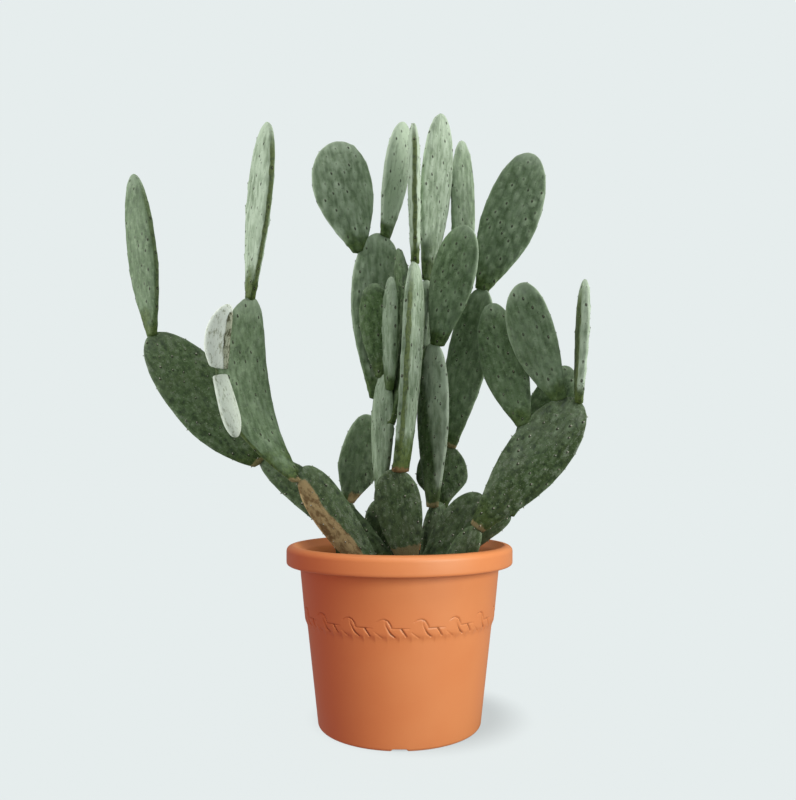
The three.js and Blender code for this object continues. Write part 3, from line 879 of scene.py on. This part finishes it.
MESH_STEP = 2.8
FEWEST_FACES = 36
AROUND_SAVING = 1.15
ALONG_EXTRA = 1.3

triangles = 0
pad_pieces = []
for seed, (pad_name, pad) in enumerate(pads.items(), start=1):
    sizes = {name: float(pad[name]) for name in PAD_SIZES}
    sizes["seed"] = seed
    around = round(math.pi * pad["width"] / MESH_STEP / AROUND_SAVING)
    along = round(ALONG_EXTRA * pad["length"] / MESH_STEP)
    sizes["around"] = max(FEWEST_FACES, around)
    sizes["along"] = max(FEWEST_FACES, along)
    grown_mesh = run_tree(pad_tree, "fine_" + pad_name, sizes)
    grown_mesh.transform(Matrix.Scale(MILLIMETRE, 4) @ pad["matrix"])
    pad_pieces.append(add_piece("fine_pad_" + pad_name, grown_mesh, "pad", "pad_" + pad_name))
    triangles += count_triangles(grown_mesh)
print("triangles in the pads:", triangles)

# %% [markdown]
# ## The pot
# The pot is moulded plastic with the look of fired clay. Its outline is turned round the axis,
# and the band of ornament is pressed into that outline as a height, repeated for each motif.

# %% Sizes of the pot
FOOT_RADIUS = 130.5
FOOT_FILLET = 5
LOWER_TAPER = 0.107
UPPER_TAPER = 0.095
WALL_STEP = 2.9
WALL = 4
FLOOR_TOP_Z = 12
RIM_RADIUS = 180
RIM_BOTTOM_Z = 256
RIM_TOP_Z = 286
RIM_SKIRT = 4
RIM_CREST_RADIUS = 167
RIM_ROUND = 9
RIM_ROOF_Z = RIM_TOP_Z - 2 * WALL
GROOVES = 4
GROOVE_WIDTH = 23
GROOVE_HEIGHT = 4
GROOVE_START = 26
GROOVE_SOFTNESS = 0.7
MOTIFS = 18
MOTIF_COLUMNS = 52
COLUMNS = MOTIFS * MOTIF_COLUMNS
STEP_Z = 165
BAND_LOW_Z = 158
BAND_HIGH_Z = 199
BAND_ROW = 0.95


def lower_wall(z):
    return FOOT_RADIUS + LOWER_TAPER * (z - FOOT_FILLET)


def upper_wall(z):
    return lower_wall(STEP_Z) + WALL_STEP + UPPER_TAPER * (z - STEP_Z)


def inner_wall(z):
    return lower_wall(z) - WALL


# %% [markdown]
# The ornament repeats eighteen times. In each motif an arch rises from a level line, and a curved
# stroke runs down inside it. Two more strokes lean the same way below the line. They are
# grooves, so each is a distance to a short polyline turned into a dip. A groove's thickness may
# change along it. Angles are in degrees round the pot from its front.

# %% Ornament
MOTIF_ANGLE = 360 / MOTIFS
LINE_Z = 181
GROOVE_DEPTH = 2.0
GROOVE_SPREAD = 0.8
STEP_SOFTNESS = 2.2
STEP_LOBES = 3
STEP_LOBE_HEIGHT = 3.5
STROKES = [
    [(-12.2, 190, 0.5), (-10.5, 193, 0.8), (-8.2, 194, 0.9), (-6.1, 191.5, 1.0), (-4.9, 186.5, 1.0),
     (-4.1, 181.5, 0.8)],
    [(-7.7, 192, 0.4), (-7.2, 184.5, 0.7), (-5.6, 176.5, 1.1), (-4.5, 172.5, 1.3), (-2.6, 168.5, 1.1)],
    [(-4.3, LINE_Z, 0.8), (0.3, LINE_Z, 0.9), (5.4, 180.5, 0.5)],
    [(0.9, 180.5, 1.3), (2.2, 175.5, 1.2), (3.7, 169.5, 1.1)],
    [(6.4, 175.5, 0.5), (10.5, 167, 0.8)],
]


def stroke(angle, z, start, end):
    """A dip along a straight piece of a groove, from one (angle, height, thickness) to another."""
    degree = math.radians(1) * lower_wall(LINE_Z)
    off = (angle - start[0] + MOTIF_ANGLE / 2) % MOTIF_ANGLE - MOTIF_ANGLE / 2
    p = np.stack([off * degree, z - start[1]])
    d = np.array([(end[0] - start[0]) * degree, end[1] - start[1]])
    along = np.clip((p[0] * d[0] + p[1] * d[1]) / d.dot(d), 0, 1)
    gap = np.hypot(p[0] - along * d[0], p[1] - along * d[1])
    thickness = start[2] + (end[2] - start[2]) * along
    return np.exp(-((gap / (GROOVE_SPREAD * thickness)) ** 2)) * thickness


def ornament(angle, z):
    """How far the wall is pressed in at an angle and a height."""
    dips = [stroke(angle, z, start, end) for line in STROKES for start, end in zip(line, line[1:])]
    return GROOVE_DEPTH * np.max(dips, axis=0)


def step_height(angle):
    """Where the lower wall steps in: a softly lobed line just under the strokes."""
    lobes = np.abs(np.sin(STEP_LOBES * np.pi * angle / MOTIF_ANGLE)) ** 0.7
    return STEP_Z + STEP_LOBE_HEIGHT * lobes


# %% The pot's outline
HUB_RADIUS = 0.5
UNDERSIDE_RINGS = (HUB_RADIUS, 12, GROOVE_START, 50, 75, 100, 118)
LOWER_RINGS = (15, 50, 90, 120, 140, 150)
UPPER_RINGS = (208, 225, 245, 262, RIM_ROOF_Z - WALL)
INNER_RINGS = (262, 240, 150, 60, FLOOR_TOP_Z)
INNER_FLOOR_RADIUS = 60


def pot_outline():
    """Radius and height from the axis under the pot, up outside, over the rim, down inside."""
    skirt = RIM_RADIUS - RIM_SKIRT
    points = [(r, 0) for r in UNDERSIDE_RINGS]
    for turn in np.linspace(0, math.pi / 2, 6):
        r = FOOT_RADIUS - FOOT_FILLET + FOOT_FILLET * math.sin(turn)
        points.append((r, FOOT_FILLET * (1 - math.cos(turn))))
    points += [(lower_wall(z), z) for z in LOWER_RINGS]
    points += [(None, z) for z in np.arange(BAND_LOW_Z, BAND_HIGH_Z, BAND_ROW)]
    points += [(upper_wall(z), z) for z in UPPER_RINGS]
    points += [(upper_wall(RIM_ROOF_Z) + WALL, RIM_ROOF_Z), (skirt - 6, RIM_ROOF_Z - 2)]
    points += [(skirt, RIM_ROOF_Z - 8), (skirt, RIM_BOTTOM_Z + 1), (skirt + 0.4, RIM_BOTTOM_Z + 0.2)]
    points += [(skirt + 1.6, RIM_BOTTOM_Z), (RIM_RADIUS - 1, RIM_BOTTOM_Z + 1)]
    points += [(RIM_RADIUS - 0.2, RIM_BOTTOM_Z + 2.4), (RIM_RADIUS, RIM_BOTTOM_Z + 5)]
    points += [(RIM_RADIUS, RIM_TOP_Z - RIM_ROUND)]
    crest = RIM_CREST_RADIUS
    for turn in np.linspace(0.1, math.pi / 2, 8):
        r = crest + (RIM_RADIUS - crest) * math.cos(turn) ** 0.8
        points.append((r, RIM_TOP_Z - RIM_ROUND + RIM_ROUND * math.sin(turn) ** 0.9))
    inner = inner_wall(RIM_ROOF_Z)
    for turn in np.linspace(0.2, math.pi / 2, 7):
        r = inner + (crest - inner) * math.cos(turn) ** 0.9
        points.append((r, RIM_TOP_Z - 1.5 * RIM_ROUND * (1 - math.cos(turn))))
    points += [(inner_wall(z), z) for z in INNER_RINGS]
    points += [(INNER_FLOOR_RADIUS, FLOOR_TOP_Z), (HUB_RADIUS, FLOOR_TOP_Z)]
    return points


# %% The pot's mesh
def pot_ring(angle, r, z):
    """Radius and height of the points of one ring, and how far each is pressed in."""
    radius = np.full(COLUMNS, float(r or 0))
    height = np.full(COLUMNS, float(z))
    pressed = np.zeros(COLUMNS)
    if r is None:
        edge = step_height(np.degrees(angle))
        share = 1 / (1 + np.exp(-(z - edge) / STEP_SOFTNESS))
        pressed = ornament(np.degrees(angle), height)
        radius = lower_wall(z) * (1 - share) + upper_wall(z) * share - pressed
    elif z < GROOVE_HEIGHT and r >= GROOVE_START:
        quarter = (angle + math.pi / GROOVES) % (2 * math.pi / GROOVES) - math.pi / GROOVES
        off = np.abs(radius * np.sin(quarter))
        sunk = 1 / (1 + np.exp((off - GROOVE_WIDTH / 2) / GROOVE_SOFTNESS))
        height = np.maximum(height, GROOVE_HEIGHT * sunk)
    return radius, height, pressed


def make_pot_mesh():
    angle = np.arange(COLUMNS) * 2 * math.pi / COLUMNS
    rows = []
    dips = []
    for r, z in pot_outline():
        radius, height, pressed = pot_ring(angle, r, z)
        rows.append(np.stack([radius * np.sin(angle), -radius * np.cos(angle), height], axis=1))
        dips.append(pressed / GROOVE_DEPTH)
    points = np.concatenate(rows)
    count = len(rows)
    faces = []
    for j in range(count - 1):
        low = j * COLUMNS
        for i in range(COLUMNS):
            k = (i + 1) % COLUMNS
            faces.append((low + i, low + k, low + COLUMNS + k, low + COLUMNS + i))
    faces.append(tuple(reversed(range(COLUMNS))))
    faces.append(tuple(range((count - 1) * COLUMNS, count * COLUMNS)))
    mesh = bpy.data.meshes.new("fine_pot")
    mesh.from_pydata((points * MILLIMETRE).tolist(), [], faces)
    mesh.polygons.foreach_set("use_smooth", [True] * len(mesh.polygons))
    mesh.attributes.new("pressed", "FLOAT", "POINT").data.foreach_set("value", np.concatenate(dips))
    mesh.update()
    return mesh


# %% [markdown]
# The plastic is even in colour, except for painted shade in the pressed grooves. What makes it
# look real is a soft gloss, a faint cloudiness, and a texture too fine to see except where light
# grazes it.

# %% Pot material and piece
CLAY = (0.625, 0.128, 0.042, 1)
CLAY_LIGHT = (0.640, 0.137, 0.046, 1)
# The colour of the painted shade in the grooves.
CLAY_GROOVE_SHADE = (0.300, 0.062, 0.020, 1)
CLAY_CLOUDS = 14.0
CLAY_GRAIN = 900.0


def make_clay():
    material, tree, shader = new_material("pot_plastic", {"Specular IOR Level": 0.28})
    place = object_place(tree)
    cloud = tree.noise(place, CLAY_CLOUDS, 3.0).step(0.3, 0.7)
    grain = tree.noise(place, CLAY_GRAIN, 2.0)
    # Painted shade: the deeper a groove is pressed, the darker it is.
    pressed = attribute(tree, "pressed").step(0.35, 0.95) * 0.9
    feed(tree, shader, "Base Color", tree.mix(pressed, tree.mix(cloud, CLAY, CLAY_LIGHT), CLAY_GROOVE_SHADE))
    feed(tree, shader, "Roughness", 0.42 + 0.06 * cloud + 0.08 * grain)
    feed(tree, shader, "Normal", make_bump(tree, grain, 0.12, 0.5))
    return material


pot_mesh = make_pot_mesh()
pot_mesh.materials.append(make_clay())
pot = add_piece("fine_pot", pot_mesh, "pot", "pot")
print("pot triangles:", count_triangles(pot_mesh))

# %% [markdown]
# ## The soil
# Potting mix is dark crumbs. A gently uneven disc carries them, and Geometry Nodes scatter the
# crumbs over it with a fixed seed, so that each run gives the same soil.

# %% Soil material
EARTH_DARK = (0.010, 0.007, 0.005, 1)
EARTH_LIGHT = (0.062, 0.040, 0.024, 1)
EARTH_LUMPS = 120.0


def make_earth():
    material, tree, shader = new_material("potting_mix", {"Roughness": 0.92})
    lump = tree.noise(object_place(tree), EARTH_LUMPS, 4.0, 0.7)
    feed(tree, shader, "Base Color", tree.mix(lump.step(0.35, 0.7), EARTH_DARK, EARTH_LIGHT))
    feed(tree, shader, "Normal", make_bump(tree, lump, 2.0, 0.8))
    return material


# %% Soil and its crumbs
SOIL_MOUND = 4
SOIL_ROUGHNESS = 7
SOIL_LUMPS = 0.09
SOIL_TAPER = 0.165
SOIL_SIDE_GAP = 0.6
SOIL_UNDER_GAP = 0.3
SOIL_RINGS = 60
SOIL_SIDES = 180
SOIL_SEED = 7
CRUMB_DENSITY = 0.028
CRUMB_SMALLEST = (1.0, 1.0, 0.6)
CRUMB_LARGEST = (3.2, 2.6, 2.2)
CRUMB_TURN = 6.28


def soil_block(tree, size):
    """A disc with a gently uneven top, narrower below because the pot is."""
    counts = {"Vertices": SOIL_SIDES, "Side Segments": 1, "Fill Segments": SOIL_RINGS}
    counts.update({"Radius": size.radius, "Depth": size.depth})
    block = tree.node("GeometryNodeMeshCylinder", counts, fill_type="TRIANGLE_FAN")
    place = position(tree)
    x, y, z = tree.parts(place)
    top = z - size.depth / 2 + 1 > 0.0
    away = (x * x + y * y).math("SQRT") / size.radius
    uneven = (tree.noise(place, SOIL_LUMPS, 4.0, 0.6) - 0.5) * SOIL_ROUGHNESS
    rise = (1 - away) * SOIL_MOUND + uneven
    narrow = 1 - (1 - top) * SOIL_TAPER
    lift = tree.vector(x * narrow - x, y * narrow - y, top * rise)
    return shifted(tree, block, lift)


# %% Soil tree
def make_soil_tree(earth):
    kinds = {"seed": "NodeSocketInt", "radius": "NodeSocketFloat", "depth": "NodeSocketFloat"}
    tree, size = geometry_tree("soil", kinds)
    block = with_material(tree, soil_block(tree, size), earth)
    upward = tree.parts(tree.node("GeometryNodeInputNormal"))[2] > 0.5
    inputs = {"Mesh": block, "Selection": upward, "Density": CRUMB_DENSITY, "Seed": size.seed}
    spots = tree.node("GeometryNodeDistributePointsOnFaces", inputs)
    crumb = small_ball(tree, (1.0, 1.0, 1.0), (0.0, 0.0, 0.0), earth)
    stretch = random_vector(tree, CRUMB_SMALLEST, CRUMB_LARGEST, 3)
    turn = random_vector(tree, (0.0, 0.0, 0.0), (CRUMB_TURN, CRUMB_TURN, CRUMB_TURN), 5)
    end_tree(tree, join(tree, block, copies(tree, spots, crumb, turn, stretch)))
    return tree


# %% Make the soil
soil_radius = inner_wall(SOIL_Z) - SOIL_SIDE_GAP
soil_depth = SOIL_Z - FLOOR_TOP_Z - SOIL_UNDER_GAP
soil_sizes = {"seed": SOIL_SEED, "radius": soil_radius, "depth": soil_depth}
soil_mesh = run_tree(make_soil_tree(make_earth()), "fine_soil", soil_sizes)
middle_z = FLOOR_TOP_Z + SOIL_UNDER_GAP + soil_depth / 2
soil_mesh.transform(Matrix.Scale(MILLIMETRE, 4) @ Matrix.Translation((0, 0, middle_z)))
soil = add_piece("fine_soil", soil_mesh, "soil", "soil")
print("soil triangles:", count_triangles(soil_mesh))

# %% [markdown]
# ## The studio
# The photo has no horizon: floor and backdrop are one pale tone. The sky and the floor show that
# tone to the camera, but shine with less of it, because otherwise they would wash out the plant.

# %% Sky and floor
PALE = (0.791, 0.847, 0.847)
SKY_LIGHT = 0.40
FLOOR_LIGHT = 0.18
FLOOR_ALBEDO = 0.05
SUN_POWER = 15.0
SUN_FROM = Vector((-0.13, -0.13, 1))
SUN_ANGLE = 16

scene = bpy.context.scene
scene.view_settings.view_transform = "Standard"


def seen_or_shining(tree, seen, shining):
    """The pale tone in one strength for the camera, and in another for the light it gives."""
    direct = tree.node("ShaderNodeLightPath")
    colours = [tuple(strength * part for part in PALE) + (1,) for strength in (shining, seen)]
    return tree.mix(direct, *colours)


def add_sky():
    world = bpy.data.worlds.new("studio")
    world.use_nodes = True
    tree = Tree(world.node_tree)
    background = world.node_tree.nodes["Background"]
    background.inputs["Strength"].default_value = 1.0
    feed(tree, background, "Color", seen_or_shining(tree, 1.0, SKY_LIGHT))
    scene.world = world


def add_floor():
    bpy.ops.mesh.primitive_plane_add(size=60, location=(0, 0, 0))
    floor = bpy.context.object
    floor.name = "floor"
    values = {"Base Color": (FLOOR_ALBEDO, FLOOR_ALBEDO, FLOOR_ALBEDO, 1), "Roughness": 1.0}
    values.update({"Specular IOR Level": 0.0, "Emission Strength": 1.0})
    material, tree, shader = new_material("floor", values)
    # The sky and the sun light the floor too, so it shines with that much less.
    sunlit = SUN_POWER / SUN_FROM.length / math.pi / PALE[1]
    seen = 1 - FLOOR_ALBEDO * (SKY_LIGHT + sunlit)
    feed(tree, shader, "Emission Color", seen_or_shining(tree, seen, FLOOR_LIGHT))
    floor.data.materials.append(material)
    return floor


add_sky()
floor = add_floor()
print("studio:", scene.world.name, floor.name)

# %% [markdown]
# Two large lamps stand at the sides of the plant and a weaker one above it. They light the dusty
# faces of the pads, and leave what looks at the camera dark. The pot has lamps of its own, the
# strongest at its front right, so each lamp's light is kept to a collection of pieces. A soft sun
# draws the shadow on the floor. Only the soil casts it, because the photo's shadow is small.

# %% What the lamps are
PLANT_LAMPS = (
    ("right_side", (3.0, -0.1, 1.3), 90),
    ("left_side", (-3.0, -0.4, 1.3), 65),
    ("overhead", (0, 0.2, 3.0), 30),
)
PLANT_TARGET = (0, 0, 0.6)
PLANT_LAMP_SIZE = 2.0
POT_LAMPS = (
    ("pot_key", (1.25, -1.35, 0.75), 62, (0.53, 1.0, 0.97)),
    ("pot_fill", (-1.6, -0.9, 0.5), 4, (1.0, 0.20, 0.10)),
    ("pot_top", (0.2, -0.7, 1.9), 26, (0.55, 1.0, 1.0)),
)
POT_TARGET = (0, 0, 0.2)
POT_LAMP_SIZE = 1.0
SUN_COLOUR = (PALE[0] / PALE[1], 1, 1)


def collect(name, pieces):
    """A collection that a lamp's light or shadow is kept to."""
    kept = bpy.data.collections.new(name)
    for piece in pieces:
        kept.objects.link(piece)
    return kept


def add_lamp(name, kind, power, lit, place, target, colour=(1, 1, 1)):
    lamp = bpy.data.lights.new(name, kind)
    lamp.energy = power
    lamp.color = colour
    holder = bpy.data.objects.new(name, lamp)
    holder.location = place
    holder.rotation_euler = (Vector(target) - Vector(place)).to_track_quat("-Z", "Y").to_euler()
    holder.light_linking.receiver_collection = lit
    scene.collection.objects.link(holder)
    return holder


# %% Place the lamps
plant = collect("plant", pad_pieces + [soil])
container = collect("container", [pot])
ground = collect("ground", [floor])
for name, place, power in PLANT_LAMPS:
    lamp = add_lamp(name, "AREA", power, plant, place, PLANT_TARGET)
    lamp.data.size = PLANT_LAMP_SIZE
for name, place, power, colour in POT_LAMPS:
    lamp = add_lamp(name, "AREA", power, container, place, POT_TARGET, colour)
    lamp.data.size = POT_LAMP_SIZE
# The last of the pot's lamps is above it, where the pads would shade the rim.
lamp.light_linking.blocker_collection = container
sun = add_lamp("sun", "SUN", SUN_POWER, ground, SUN_FROM, (0, 0, 0), SUN_COLOUR)
sun.data.angle = math.radians(SUN_ANGLE)
sun.light_linking.blocker_collection = collect("shadow", [soil])
print("stage ready:", len(bpy.data.lights), "lamps")
